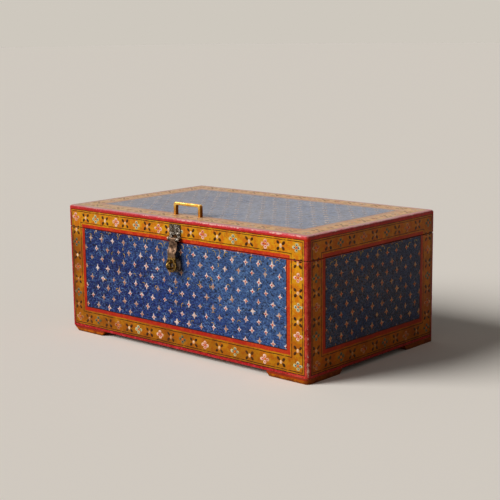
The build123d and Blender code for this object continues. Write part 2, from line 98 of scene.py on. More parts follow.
# How many motifs each band has room for. A long side's stand close together at first and wider apart over
# the last third.
CLOSE_MOTIFS = 13
CLOSE_STEP = 19.3
WIDE_MOTIFS = 6
WIDE_STEP = 24.1
END_MOTIFS = 11
UPRIGHT_MOTIFS = 9
LID_LONG_MOTIFS = 19
LID_SHORT_MOTIFS = 11

# Strokes stop this far from the seam, and further at the back, where the hinge bevels close on each
# other.
SEAM_CUT = 0.35
BACK_SEAM_CUT = 3.0

# The field inside each face's frame, as (u0, v0, u1, v1): u to the right and v up as one looks at it.
FIELD_GAP = 0.4
FRONT_FIELD = (
    INNER_RED_END + FIELD_GAP,
    FRAME_BOTTOM + INNER_RED_END + FIELD_GAP,
    length - INNER_RED_END - FIELD_GAP,
    height - INNER_RED_END / TOP_BAND_SQUEEZE - 2 * FIELD_GAP,
)
BACK_FIELD = (*FRONT_FIELD[:3], seam_z - BACK_SEAM_CUT)
END_FIELD = (FRONT_FIELD[0], FRONT_FIELD[1], depth - FRONT_FIELD[0], FRONT_FIELD[3])
LID_INSET = INNER_RED_END / LID_FACE_STRETCH + FIELD_GAP
LID_FIELD = (LID_INSET, LID_INSET, length - LID_INSET, depth - LID_INSET)

# How a face's stars are laid out: the place that the columns are counted from and their pitch, how far the
# first row is below the face's top, the rows' spacing on the left and on the right, where along the face it
# goes from one to the other, and whether it is the odd rows that stand half a pitch further on.
StarLayout = namedtuple("StarLayout", "start pitch first_row spacing closing half_on_odd")
LONG_STARS = StarLayout(12.0, 20.75, 27.6, (12.6, 11.35), (220.0, 340.0), True)
END_STARS = StarLayout(-8.5, 19.8, 26.8, (12.1, 12.1), (0.0, depth), False)
LID_STARS = StarLayout(12.0, 20.75, LID_INSET + 4.0, (12.4, 12.4), (0.0, length), True)
# The rows and columns that are counted out, more than any field has room for.
STAR_ROWS = 40
STAR_COLUMNS = 24
# A star whose middle is this close outside its field is still drawn, and cut off by the band.
STAR_OVERLAP = 3.0

# Small ochre scrolls hang along the top of each upright field, and more lie scattered over the long ones.
HANGING_SCROLL_STEP = 13
SCATTERED_SCROLLS = 34

# ---------------------------------------------------------------- colours


def linear(level):
    """A display level, 0 to 255, as a linear share of light."""
    share = level / 255
    return share / 12.92 if share <= 0.04045 else ((share + 0.055) / 1.055) ** 2.4


def colour(red, green, blue):
    """A display colour, 0 to 255, as the linear RGBA that shaders take."""
    return (linear(red), linear(green), linear(blue), 1.0)


FIELD_BLUE = colour(34, 62, 140)
FIELD_DEEP = colour(18, 26, 76)
# A paler blue that paints a sheen on the field.
FIELD_SHEEN = colour(76, 112, 160)
FIELD_SCRATCH = colour(118, 158, 208)
FIELD_DIRT = colour(17, 20, 22)
FIELD_RUST = colour(122, 84, 50)
# A near-black blue and brown that paint the ends' shade.
FIELD_END_SHADE = colour(14, 26, 58)
FIELD_END_SHADE_BROWN = colour(28, 26, 16)
BAND_YELLOW = colour(218, 154, 22)
BAND_ORANGE = colour(206, 118, 14)
BAND_BROWN = colour(136, 70, 4)
# A darker, redder yellow that paints the ends' shade.
BAND_END_SHADE = colour(178, 72, 4)
INNER_RED = colour(196, 46, 20)
INNER_RED_LIGHT = colour(212, 80, 28)
INNER_RED_DARK = colour(146, 28, 18)
EDGE_CRIMSON = colour(168, 24, 30)
EDGE_ROSE = colour(208, 80, 62)
EDGE_PINK = colour(214, 66, 88)
EDGE_DARK = colour(116, 18, 14)
# A pink that paints a highlight on the turn of the lid's rim.
RIM_HIGHLIGHT = colour(218, 46, 72)
TOP_LINE = colour(150, 92, 56)
LINE_BLACK = colour(30, 18, 8)
# The pale primer, which also paints a highlight along the lid's top arris.
PRIMER_AND_HIGHLIGHT = colour(226, 190, 178)
# Pale greys for the lid's dust and a painted sheen on it.
DUST_SHEEN_GREY = colour(212, 208, 208)
DUST_SHEEN_WARM = colour(250, 216, 172)
# A dark brown for grime and for painted shade.
GRIME_AND_SHADE = colour(44, 18, 6)

FOOT_MUSTARD = colour(178, 94, 4)
FOOT_BROWN = colour(126, 56, 2)
FOOT_FLOOR_SHADE = colour(48, 18, 6)
FOOT_SHADED = colour(92, 30, 12)
WOOD_PALE = colour(176, 126, 78)
WOOD_BROWN = colour(122, 78, 44)
WOOD_DARK = colour(70, 42, 24)

# A metal's tones: where it is rubbed, over most of it, and in its grime.
Tones = namedtuple("Tones", "bright dull dark")
IRON = Tones(colour(104, 92, 84), colour(72, 60, 52), colour(30, 24, 20))
BRASS = Tones(colour(176, 140, 70), colour(96, 72, 30), colour(34, 24, 12))
STRAP_IRON = Tones(colour(112, 88, 70), colour(68, 50, 38), colour(26, 18, 12))
GILT_BRASS = Tones(colour(250, 206, 112), colour(220, 160, 62), colour(96, 50, 10))
GILT_LOW = colour(190, 112, 20)
# A dark brown that paints the shade on the pull's flanks.
GILT_SHADE = colour(112, 50, 6)
LOBE_DARK = colour(64, 46, 20)
LOBE_OLIVE = colour(170, 132, 62)
ENGRAVED_BRIGHT = colour(190, 180, 168)
ENGRAVED_DULL = colour(92, 78, 62)
ENGRAVED_CUT = colour(26, 20, 16)
ENGRAVED_TARNISH = colour(60, 50, 40)

# The strokes' paints, each a tone and the shade that it is uneven with. The dim ones paint the ends' shade
# and serve a lower left corner, and the lid's pale ones paint its dust and a sheen.
PAINT_TONES = {
    "star": (colour(222, 206, 204), colour(196, 168, 160)),
    "peach": (colour(190, 166, 154), colour(156, 124, 110)),
    "red": (colour(190, 30, 30), colour(190, 54, 32)),
    "rose": (colour(188, 92, 78), colour(172, 108, 92)),
    "pink": (colour(206, 68, 88), colour(178, 30, 54)),
    "white": (colour(232, 200, 186), colour(214, 158, 128)),
    "blue": (colour(36, 66, 96), colour(66, 104, 128)),
    "mist": (colour(196, 196, 166), colour(186, 170, 108)),
    "cream": (colour(236, 208, 166), colour(216, 160, 112)),
    "leaf": (colour(50, 24, 2), colour(86, 46, 4)),
    "ochre": (colour(216, 172, 30), colour(156, 132, 26)),
    "orange": (colour(224, 112, 26), colour(206, 80, 20)),
    "dim": (colour(196, 150, 112), colour(140, 92, 56)),
    "dim_white": (colour(190, 138, 100), colour(140, 88, 50)),
    "dim_pink": (colour(168, 48, 44), colour(136, 26, 28)),
    "dim_mist": (colour(124, 112, 78), colour(96, 80, 40)),
    "dim_blue": (colour(30, 44, 62), colour(44, 58, 70)),
    "dim_cream": (colour(196, 142, 92), colour(150, 96, 46)),
    # Pale paints for the lid, for its dust and a painted sheen.
    "dust_and_sheen": (colour(206, 192, 184), colour(172, 164, 164)),
    "dust_and_sheen_red": (colour(150, 118, 122), colour(146, 128, 132)),
    "dust_and_sheen_leaf": (colour(134, 98, 66), colour(152, 116, 84)),
    "dust_and_sheen_petal": (colour(206, 170, 138), colour(190, 148, 112)),
    "dust_and_sheen_heart": (colour(172, 104, 82), colour(176, 124, 94)),
}

# ---------------------------------------------------------------- shader building


class Wire:
    """The output of a shader node, which can be used in sums."""

    def __init__(self, graph, socket):
        self.graph = graph
        self.socket = socket

    def __add__(self, other):
        return self.graph.math("ADD", self, other)

    def __radd__(self, other):
        return self.graph.math("ADD", other, self)

    def __sub__(self, other):
        return self.graph.math("SUBTRACT", self, other)

    def __rsub__(self, other):
        return self.graph.math("SUBTRACT", other, self)

    def __mul__(self, other):
        return self.graph.math("MULTIPLY", self, other)

    def __abs__(self):
        return self.graph.math("ABSOLUTE", self)

    def over(self, other):
        return self.graph.math("GREATER_THAN", self, other)

    def under(self, other):
        return self.graph.math("LESS_THAN", self, other)


class Graph:
    """A node tree, and short calls for the nodes that fill it."""

    def __init__(self, tree):
        self.tree = tree
        tree.nodes.clear()

    def add(self, kind, inputs=None, **settings):
        node = self.tree.nodes.new(kind)
        for key, value in settings.items():
            setattr(node, key, value)
        for key, value in (inputs or {}).items():
            self.feed(node.inputs[key], value)
        return node

    def feed(self, socket, value):
        if isinstance(value, Wire):
            self.tree.links.new(value.socket, socket)
        else:
            socket.default_value = value

    def out(self, node, socket=0):
        return Wire(self, node.outputs[socket])

    def math(self, operation, *values):
        return self.out(self.add("ShaderNodeMath", dict(enumerate(values)), operation=operation))

    def least(self, *values):
        result = values[0]
        for value in values[1:]:
            result = self.math("MINIMUM", result, value)
        return result

    def greatest(self, *values):
        result = values[0]
        for value in values[1:]:
            result = self.math("MAXIMUM", result, value)
        return result

    def split(self, wire):
        node = self.add("ShaderNodeSeparateXYZ", {0: wire})
        return [Wire(self, socket) for socket in node.outputs]

    def ramp(self, value, low, high, from_value=0.0, to_value=1.0):
        """A smooth step from from_value at low to to_value at high."""
        inputs = {
            "Value": value,
            "From Min": low,
            "From Max": high,
            "To Min": from_value,
            "To Max": to_value,
        }
        return self.out(self.add("ShaderNodeMapRange", inputs, interpolation_type="SMOOTHSTEP"))

    def mix(self, share, first, second):
        """Colours: first where share is 0, second where it is 1."""
        return self.out(self.add("ShaderNodeMix", {0: share, 6: first, 7: second}, data_type="RGBA"), 2)

    def lay(self, over, under, texture, low, high, share=1.0):
        """One colour over another: none of it where the texture is low, and this share where it is high."""
        return self.mix(self.ramp(texture, low, high, 0.0, share), under, over)

    def choose(self, share, first, second):
        """Numbers: first where share is 0, second where it is 1."""
        return first + share * (second - first)


class Finish(Graph):
    """A procedural material: one Principled shader and the textures that feed it, in millimetres."""

    def __init__(self, name, settings):
        self.material = bpy.data.materials.new(name)
        self.material.use_nodes = True
        super().__init__(self.material.node_tree)
        self.shader = self.add("ShaderNodeBsdfPrincipled", settings)
        self.add("ShaderNodeOutputMaterial", {"Surface": self.out(self.shader)})
        self.place = self.add("ShaderNodeTexCoord")
        to_millimetres = {0: self.out(self.place, "Object"), "Scale": 1 / MM}
        self.point = self.out(self.add("ShaderNodeVectorMath", to_millimetres, operation="SCALE"))

    def normal(self):
        return self.split(self.out(self.place, "Normal"))

    def noise(self, size, detail=3.0, stretch=(1, 1, 1), roughness=0.55, shift=(0, 0, 0)):
        """Cloudy noise from 0 to 1, its features about size millimetres, longer along a stretched axis."""
        scale = tuple(1 / (size * s) for s in stretch)
        mapping = self.add("ShaderNodeMapping", {"Vector": self.point, "Scale": scale, "Location": shift})
        inputs = {"Vector": self.out(mapping), "Scale": 1.0, "Detail": detail, "Roughness": roughness}
        return self.out(self.add("ShaderNodeTexNoise", inputs), "Fac")

    def paint(self, base, roughness):
        self.feed(self.shader.inputs["Base Color"], base)
        self.feed(self.shader.inputs["Roughness"], roughness)

    def bump(self, relief, rise):
        """Relief from 0 to 1 stands up by rise, in millimetres."""
        node = self.add("ShaderNodeBump", {"Height": relief, "Distance": rise * MM, "Strength": 1.0})
        self.feed(self.shader.inputs["Normal"], self.out(node))


# ---------------------------------------------------------------- bare wood

WOOD_BODY = {"IOR": 1.45}
GRAIN_STRETCH = 22.0
FIBRE_STRETCH = 45.0
GRAIN_RINGS = 46.0


def stretched(along, amount):
    """How a noise is stretched: by this amount along axis 0, 1 or 2, and not along the others."""
    return tuple(amount if axis == along else 1.0 for axis in range(3))


def wood_grain(f, along):
    """Colour and relief of plain old wood, with the grain along axis 0, 1 or 2."""
    figure = f.noise(9.0, detail=3.0, stretch=stretched(along, GRAIN_STRETCH), roughness=0.5)
    rings = f.math("SINE", figure * GRAIN_RINGS) * 0.5 + 0.5
    fibres = f.noise(0.8, detail=3.0, stretch=stretched(along, FIBRE_STRETCH), roughness=0.6)
    stains = f.noise(48.0, detail=4.0, roughness=0.6)
    tone = f.lay(WOOD_PALE, WOOD_BROWN, figure, 0.3, 0.7)
    tone = f.lay(WOOD_DARK, tone, rings, 0.45, 1.0, 0.4)
    tone = f.lay(WOOD_DARK, tone, fibres, 0.5, 0.68, 0.55)
    tone = f.lay(WOOD_DARK, tone, stains, 0.48, 0.72, 0.5)
    return tone, fibres


def bare_finish(name, along):
    """Plain old wood all over."""
    f = Finish(name, WOOD_BODY)
    tone, fibres = wood_grain(f, along)
    f.paint(tone, f.ramp(fibres, 0.3, 0.7, 0.6, 0.75))
    f.bump(fibres, 0.12)
    return f.material


# ---------------------------------------------------------------- painted boards

PAINT_BODY = {"IOR": 1.5, "Specular IOR Level": 0.09}
PAINT_RELIEF = 0.24
# Deeper than this in from the chest's outside, a board is bare.
PAINT_REACH = 1.3
BARE_ROUGHNESS = 0.66


class BoardFinish(Finish):
    """A painted board's finish, which knows where each point lies on the chest and how it was brushed."""

    def __init__(self, name, dust_sheen):
        super().__init__(name, {**PAINT_BODY, "Sheen Weight": dust_sheen, "Sheen Roughness": 0.3})
        self.x, self.y, self.z = self.split(self.point)
        self.to_end = half_length - abs(self.x)
        self.to_side = half_depth - abs(self.y - middle_y)
        self.below_top = height - self.z

        normal_x, normal_y, normal_z = (abs(n) for n in self.normal())
        self.on_end = normal_x.over(self.greatest(normal_y, normal_z))
        self.on_lid_face = normal_z.over(self.greatest(normal_x, normal_y))
        self.on_top = self.on_lid_face * self.z.over(height - 2 * LID_EDGE_RADIUS)
        self.inset = self.frame_inset()

        # Brushwork, smoke and dirt of several sizes, which the paints below share.
        self.clouds = self.noise(30.0, detail=4.0, roughness=0.6)
        self.smoke = self.noise(26.0, detail=4.0, roughness=0.6, shift=(5, 5, 5))
        self.pooling = self.noise(8.0, detail=5.0, roughness=0.6)
        self.dirt = self.noise(2.4, detail=6.0, stretch=(1.6, 1.6, 1.0), roughness=0.74, shift=(9, 4, 2))
        self.brushed = self.noise(1.1, detail=4.0, stretch=(2.2, 2.2, 2.2), roughness=0.72, shift=(1, 2, 7))
        self.strokes = self.noise(1.6, detail=5.0, stretch=(2.3, 2.3, 1.0), roughness=0.7)

        # How much darker the bands are drawn: low down, less so to the right, and at the left below the
        # seam.
        less_to_right = self.ramp(self.x, 0.0, half_length, 1.0, 0.6)
        self.low_down = self.ramp(self.z, 12.0, 120.0, 0.85, 0.0) * less_to_right
        near_left = self.ramp(self.x, 60.0 - half_length, -half_length)
        self.left_side = near_left * self.ramp(self.z, seam_z - 20.0, seam_z, 1.0, 0.2)

    def frame_inset(self):
        """How far in from the edges of its own face a point lies, as an unsteady hand measures it."""
        upright = self.least(self.below_top * TOP_BAND_SQUEEZE, self.z - FRAME_BOTTOM)
        long_side = self.least(self.to_end, upright)
        short_side = self.least(self.to_side, upright)
        lid_face = self.least(self.to_end, self.to_side) * LID_FACE_STRETCH
        inset = self.choose(self.on_lid_face, self.choose(self.on_end, long_side, short_side), lid_face)
        sway = (self.noise(16.0, detail=2.0) - 0.5) * 1.1
        tremor = (self.noise(2.2, detail=1.0) - 0.5) * 0.4
        return inset + (sway + tremor)


def field_paint(f):
    """The field: deep blue under loose brushwork, paler to the upper right with a painted sheen."""
    field = f.lay(FIELD_BLUE, FIELD_DEEP, f.strokes, 0.42, 0.58)
    # A painted sheen: the field is drawn paler towards the upper right.
    painted_sheen = f.ramp(f.x * 0.6 + f.z + f.clouds * 110.0, 80.0, 265.0)
    field = f.mix(painted_sheen * f.ramp(f.strokes, 0.36, 0.66, 0.25, 0.85), field, FIELD_SHEEN)
    field = f.mix(f.ramp(f.x, -half_length, 60.0, 0.5, 0.0), field, FIELD_DEEP)
    curls = f.noise(5.2, detail=3.0, roughness=0.6, shift=(3, 8, 5))
    curl_lines = f.ramp(abs(curls - 0.5), 0.0, 0.026, 1.0, 0.0) * f.ramp(f.clouds, 0.36, 0.6, 0.2, 0.8)
    field = f.mix(curl_lines, field, FIELD_SCRATCH)
    rubs = f.noise(0.9, detail=3.0, stretch=(8.0, 8.0, 1.0), roughness=0.65, shift=(6, 1, 9))
    field = f.lay(FIELD_SCRATCH, field, rubs, 0.58, 0.7, 0.5)
    return f.lay(FIELD_DIRT, field, f.dirt, 0.52, 0.62, 0.92)


def shaded_at_ends(f, field):
    """The ends' field: nearly black, a painted shade, browner in patches and flecked with rust."""
    rust = f.noise(1.7, detail=4.0, roughness=0.7, shift=(8, 2, 4))
    # A painted shade over the ends' field, browner in patches.
    browner = f.ramp(f.clouds, 0.44, 0.57)
    shadow = f.mix(browner, FIELD_END_SHADE, FIELD_END_SHADE_BROWN)
    field = f.mix(f.on_end * f.ramp(rust, 0.38, 0.54, 0.88, 0.35), field, shadow)
    return f.mix(f.on_end * f.ramp(rust, 0.53, 0.62, 0.0, 0.8) * (0.45 + browner * 0.55), field, FIELD_RUST)


def yellow_paint(f):
    """The flowered bands' yellow, laid on wetter and thinner, and browner low down and on the left."""
    yellow = f.lay(BAND_ORANGE, BAND_YELLOW, f.pooling, 0.42, 0.6)
    yellow = f.lay(BAND_BROWN, yellow, f.brushed, 0.52, 0.68, 0.55)
    browned = f.greatest(f.low_down, f.left_side) * f.ramp(f.smoke, 0.3, 0.6, 0.6, 1.0)
    yellow = f.mix(browned, yellow, BAND_BROWN)
    # On the ends the yellow is drawn darker and redder, a painted shade.
    return f.mix(f.on_end * 0.5, yellow, BAND_END_SHADE)


def red_paint(f):
    """The red line round the field, lighter to the right, darker low down and on the left."""
    red = f.lay(INNER_RED_LIGHT, INNER_RED, f.pooling, 0.45, 0.62)
    red = f.lay(INNER_RED_LIGHT, red, f.x, 60.0, half_length, 0.55)
    red = f.mix(f.greatest(f.left_side * 0.9, f.low_down * 0.65), red, INNER_RED_DARK)
    red = f.mix(f.ramp(f.brushed, 0.46, 0.6, 0.0, 0.6) * (1.0 - f.on_end * 0.5), red, EDGE_CRIMSON)
    # On the ends the red is drawn darker, a painted shade.
    red = f.mix(f.on_end * 0.5, red, INNER_RED_DARK)
    # On the lid's top the red line is drawn browner, part of its painted sheen.
    return f.mix(f.on_top * 0.6, red, TOP_LINE)


def crimson_paint(f):
    """Crimson edges: streaky, rosier to the right, and a painted pink highlight where the lid's rim turns.
    """
    streaks = f.noise(4.4, detail=6.0, roughness=0.78, shift=(3, 3, 9))
    crimson = f.lay(EDGE_ROSE, EDGE_CRIMSON, f.brushed, 0.5, 0.66, 0.6)
    crimson = f.lay(EDGE_PINK, crimson, streaks, 0.52, 0.64, 0.75)
    crimson = f.mix(f.ramp(streaks, 0.36, 0.46, 0.7, 0.0), crimson, EDGE_DARK)
    to_right = f.ramp(f.x, half_length - 60.0, half_length, 0.0, 0.85)
    rosy = to_right * (1.0 - f.on_end * 0.6) * f.ramp(streaks, 0.4, 0.56, 0.2, 1.0)
    # On the lid's top the crimson is drawn rosier, a painted sheen.
    crimson = f.mix(f.greatest(rosy, f.on_top * 0.7), crimson, EDGE_ROSE)
    # A painted highlight: the turn of the lid's rim is drawn pink.
    rim_highlight = f.ramp(f.below_top, 1.8, 3.4, 0.6, 0.0) * f.ramp(f.x, -half_length, 60.0, 0.2, 1.0)
    crimson = f.mix(rim_highlight * (1.0 - f.on_end * 0.7), crimson, RIM_HIGHLIGHT)
    rim_red = f.ramp(f.below_top, 2.4, 4.0, 0.0, 0.8) * f.below_top.under(RED_EDGE + 1.0)
    return f.mix(rim_red, crimson, INNER_RED)


def framed_paint(f):
    """The design: crimson edge, yellow band and red line round the field, with thin black lines."""
    paint = f.mix(f.inset.over(RED_EDGE), crimson_paint(f), yellow_paint(f))
    paint = f.mix(f.inset.over(YELLOW_END), paint, red_paint(f))
    paint = f.mix(f.inset.over(INNER_RED_END), paint, shaded_at_ends(f, field_paint(f)))
    ink = f.noise(6.0, detail=2.0, shift=(4, 4, 4))
    for line in BAND_LINES:
        stroke = f.ramp(abs(f.inset - line), 0.3, 0.65, 1.0, 0.0) * f.ramp(ink, 0.3, 0.48, 0.35, 1.0)
        paint = f.mix(stroke, paint, LINE_BLACK)
    rim = f.ramp(abs(f.inset - INNER_RED_END), 0.35, 0.9, 0.9, 0.0)
    return f.mix(rim, paint, LINE_BLACK)


def hasp_grime_and_shade(f):
    """Share of grime and painted shade round the hasp: a smoky front patch, heavier above the seam."""
    stain = (f.smoke - 0.5) * 12.0
    # Heaviest on the lid's rail, where it paints the shade seen through the hasp's hinge.
    strongest = f.ramp(f.z, seam_z - 4.0, seam_z, 0.4, 0.85)
    beside = f.ramp(abs(f.x - hasp_x) + stain, hasp_half_width - 5.0, hasp_half_width + 5.0, 1.0, 0.0)
    level = f.ramp(abs(f.z - hasp_z) + stain, hasp_half_height - 5.0, hasp_half_height + 5.0, strongest, 0.0)
    return beside * level * (1.0 - f.on_lid_face) * f.y.under(middle_y)


def soiled_and_shaded_paint(f):
    """The design under grime, more on the ends, with painted shade there, round the hasp and in the seam."""
    soiled = f.ramp(f.smoke + f.dirt * 0.6, 0.62, 1.02, 0.1, 0.75)
    # Grime, heavier on the ends, where the extra darkness is a painted shade.
    paint = f.mix(soiled * (0.22 + f.on_end * 0.22) + f.on_end * 0.06, framed_paint(f), GRIME_AND_SHADE)
    paint = f.mix(hasp_grime_and_shade(f), paint, GRIME_AND_SHADE)
    # A painted shade: a dark line along the seam, where the lid meets the chest.
    return f.mix(f.ramp(abs(f.z - seam_z), 0.4, 0.9, 0.3, 0.0), paint, LINE_BLACK)


def dust_and_sheen_paint(f, paint):
    """Dust and a painted sheen pale the lid's top, warmer over its bands."""
    # Dust with a painted sheen: the lid's top is drawn paler.
    dust_and_sheen = f.on_top * f.ramp(f.smoke + f.strokes * 0.4, 0.4, 0.95, 0.17, 0.41)
    on_bands = f.inset.over(RED_EDGE) * f.inset.under(INNER_RED_END)
    return f.mix(dust_and_sheen, paint, f.mix(on_bands, DUST_SHEEN_GREY, DUST_SHEEN_WARM))


def rounded_off(radius):
    """The distances to two faces, added up, at the middle of an arris rounded to this radius."""
    return 2 * radius * (1 - math.sqrt(0.5))


def worn(f, paint):
    """Handling rubs arrises to primer and chips to wood; the lid's top one partly a painted highlight."""
    top_arris = f.least(f.to_end, f.to_side) + f.below_top - rounded_off(LID_EDGE_RADIUS)
    upright_arris = f.to_end + f.to_side - rounded_off(CORNER_RADIUS)
    # Along the lid's top arris the pale rub grows to the right: partly wear, partly a painted highlight.
    top_wear_and_highlight = f.ramp(f.x, -150.0, 190.0, 0.0, 1.15) - f.on_end * 1.1 - top_arris * 2.6
    upright_wear = f.ramp(f.z, 8.0, 56.0, 1.0, -0.3) - f.ramp(f.z, 56.0, 130.0, 0.0, 0.6)
    upright_wear = upright_wear - upright_arris * 2.8
    rub = f.noise(6.0, detail=6.0, stretch=(2.6, 2.6, 1.0), roughness=0.7, shift=(7, 3, 1))
    rubbed = f.ramp(rub * 7.5 + f.greatest(top_wear_and_highlight, upright_wear), 4.15, 4.75, 0.0, 0.9)
    paint = f.mix(rubbed * f.ramp(f.brushed, 0.43, 0.53, 0.1, 1.0), paint, PRIMER_AND_HIGHLIGHT)
    chips = f.noise(4.0, detail=5.0, roughness=0.75, shift=(2, 9, 6))
    chipped = f.ramp(chips * 9.0 - f.least(top_arris, upright_arris), 5.5, 5.8)
    return f.mix(chipped, paint, WOOD_BROWN), chipped


def board_finish(name, along, dust_sheen=0.0):
    """A board of the chest: painted outside, worn at the arrises, and bare wood inside."""
    f = BoardFinish(name, dust_sheen)
    paint, chipped = worn(f, dust_and_sheen_paint(f, soiled_and_shaded_paint(f)))
    grain_colour, fibres = wood_grain(f, along)
    skin = f.least(f.to_end, f.to_side, f.below_top) + (f.noise(1.6, detail=3.0) - 0.5) * 1.6
    bare = skin.over(PAINT_REACH)
    gloss = f.ramp(f.dirt, 0.36, 0.66, 0.28, 0.52)
    f.paint(f.mix(bare, paint, grain_colour), f.choose(bare, gloss, BARE_ROUGHNESS))
    bands_rise = f.ramp(f.inset, INNER_RED_END - 0.3, INNER_RED_END + 0.3, 0.25, 0.0)
    worn_relief = f.strokes * 0.4 + f.brushed * 0.25 + bands_rise - chipped * 0.5
    f.bump(f.choose(bare, worn_relief, fibres * 0.6), PAINT_RELIEF)
    return f.material


def foot_finish():
    """The feet: thin mustard paint, worn to the wood where they scrape along the floor."""
    f = Finish("foot_mustard", PAINT_BODY)
    x, _, z = f.split(f.point)
    _, normal_y, _ = f.normal()
    pooling = f.noise(7.0, detail=5.0)
    tone = f.lay(FOOT_BROWN, FOOT_MUSTARD, pooling, 0.38, 0.62)
    # A painted shade: the feet are drawn darker towards the floor.
    tone = f.mix(f.ramp(z, 0.4, 2.6, 0.7, 0.0), tone, FOOT_FLOOR_SHADE)
    # The crimson of the long sides' lower edge runs over onto the top of the feet.
    overrun = foot_height - 1.9 + (pooling - 0.5) * 1.6
    tone = f.mix(z.over(overrun) * f.ramp(abs(normal_y), 0.6, 0.8, 0.1, 0.85), tone, INNER_RED_DARK)
    tone = f.lay(FOOT_SHADED, tone, x, half_length - 6.0, half_length - 1.0, 0.55)
    grain_colour, fibres = wood_grain(f, 0)
    scraped = f.ramp(f.noise(3.0, detail=4.0, roughness=0.7) * 4.0 - z, 1.2, 1.9)
    top_face = f.ramp(z, foot_height - 0.2, foot_height - 0.1)
    bare = f.greatest(scraped, top_face)
    f.paint(f.mix(bare, tone, grain_colour), f.choose(bare, 0.46, 0.7))
    f.bump(fibres, 0.1)
    return f.material


# ---------------------------------------------------------------- metals

METAL_BODY = {"Metallic": 1.0}


class Metal(Finish):
    """Old metal: bright where it is rubbed, dull over most of it, dark with grime in patches."""

    def __init__(self, name, tones, grain=0.5, grain_detail=4.0):
        super().__init__(name, METAL_BODY)
        self.tones = tones
        self.patches = self.noise(4.0, detail=5.0, roughness=0.65)
        self.fine = self.noise(grain, detail=grain_detail, roughness=0.6, shift=(5, 1, 3))
        self.tone = self.lay(tones.dull, tones.bright, self.patches, 0.42, 0.62)

    def done(self, grime, smooth, rough, pits, cleaner=0.0):
        """Adds the grime, up to this share, the roughness from rubbed to dull, and the pits' depth."""
        mottled = self.fine * 0.5 + self.patches * 0.5
        tone = self.lay(self.tones.dark, self.tone, mottled, 0.5 + cleaner, 0.62 + cleaner, grime)
        self.paint(tone, self.ramp(self.patches, 0.35, 0.65, smooth, rough))
        self.bump(self.fine, pits)
        return self.material


def iron_finish():
    return Metal("aged_iron", IRON).done(grime=0.7, smooth=0.5, rough=0.72, pits=0.08)


def brass_finish():
    return Metal("old_brass", BRASS).done(grime=0.8, smooth=0.3, rough=0.52, pits=0.08)


def strap_finish():
    """Brown iron strap; its lobe's rim and boss olive brass, partly worn bright, partly painted glints."""
    f = Metal("strap_metal", STRAP_IRON)
    _, _, z = f.split(f.point)
    lobe_top = strap_bottom + LOBE_RISE
    on_lobe = f.ramp(z, lobe_top - 3.0, lobe_top + 2.0, 1.0, 0.0)
    # Bright olive patches on the lobe: partly worn brass, partly painted glints.
    glint = f.noise(1.7, detail=2.0, shift=(2, 2, 5))
    wash = f.lay(LOBE_OLIVE, LOBE_DARK, glint, 0.42, 0.62)
    f.tone = f.mix(on_lobe * 0.85, f.tone, wash)
    return f.done(grime=0.7, smooth=0.5, rough=0.66, pits=0.08)


def pull_finish():
    """The pull: gilt brass, rubbed bright on its bar, browned down its legs, painted shade on its flanks."""
    f = Metal("gilt_brass", GILT_BRASS, grain=0.6, grain_detail=3.0)
    _, _, z = f.split(f.point)
    normal_x, _, normal_z = f.normal()
    low_down = f.ramp(z, pull_top - 9.0, pull_top - 4.0, 0.7, 0.0)
    f.tone = f.mix(low_down, f.tone, GILT_LOW)
    # A painted shade: faces turned sideways or downwards are drawn darker.
    shaded_flank = f.ramp(f.greatest(abs(normal_x), normal_z * -1.0), 0.45, 0.85, 0.0, 0.92)
    f.tone = f.mix(shaded_flank, f.tone, GILT_SHADE)
    return f.done(grime=0.45, smooth=0.24, rough=0.42, pits=0.03, cleaner=0.02)


def engraved_finish():
    """The hasp's plate: chased all over, bright on the high parts and black in the cuts."""
    f = Finish("engraved_metal", METAL_BODY)
    cuts = f.noise(2.0, detail=2.0, roughness=0.5, shift=(3, 1, 6))
    rubs = f.noise(2.8, detail=3.0, roughness=0.6, shift=(1, 7, 2))
    fine = f.noise(0.5, detail=4.0, roughness=0.6, shift=(5, 1, 3))
    high = f.ramp(abs(cuts - 0.5), 0.02, 0.09)
    tone = f.lay(ENGRAVED_DULL, ENGRAVED_BRIGHT, rubs, 0.38, 0.58)
    tone = f.mix(high, ENGRAVED_CUT, tone)
    tone = f.lay(ENGRAVED_TARNISH, tone, fine, 0.52, 0.66, 0.6)
    f.paint(tone, f.ramp(rubs, 0.35, 0.65, 0.3, 0.5))
    f.bump(high * 0.8 + fine * 0.2, 0.3)
    return f.material


# ---------------------------------------------------------------- brush strokes as geometry

STROKE_BODY = {"IOR": 1.5, "Specular IOR Level": 0.12}
STROKE_ROUGHNESS = 0.42
# How far a stroke stands out of its board, how far it reaches in, and how much higher each layer lies.
STROKE_RISE = 0.14
STROKE_SINK = 0.05
LAYER_RISE = 0.05
# Its upper face is this much of its foot, so that its edge slopes.
STROKE_TOP_SHARE = 0.78

# Pointed strokes, as places along and across one of length and width 1. A petal starts at its flower's
# centre and is fullest at a third of its reach, and a leaf lies about its own middle.
PETAL = ((0.0, 0.22), (0.3, 0.5), (0.66, 0.31), (1.0, 0.0), (0.66, -0.31), (0.3, -0.5), (0.0, -0.22))
LEAF = (
    (-0.5, 0.0), (-0.34, 0.36), (0.0, 0.5), (0.34, 0.36),
    (0.5, 0.0), (0.34, -0.36), (0.0, -0.5), (-0.34, -0.36),
)


def stroke_finish(name, tone, shade):
    """Thick brush paint, a little uneven from one stroke to the next."""
    f = Finish(name, STROKE_BODY)
    uneven = f.noise(7.0, detail=4.0)
    fine = f.noise(0.7, detail=3.0, shift=(6, 2, 8))
    mixed = f.lay(shade, tone, uneven, 0.38, 0.64)
    f.paint(f.lay(shade, mixed, fine, 0.52, 0.7, 0.5), STROKE_ROUGHNESS)
    f.bump(fine, 0.05)
    return f.material


STROKE_ORDER = list(PAINT_TONES)
STROKE_PAINTS = [stroke_finish(f"paint_{name}", *PAINT_TONES[name]) for name in STROKE_ORDER]


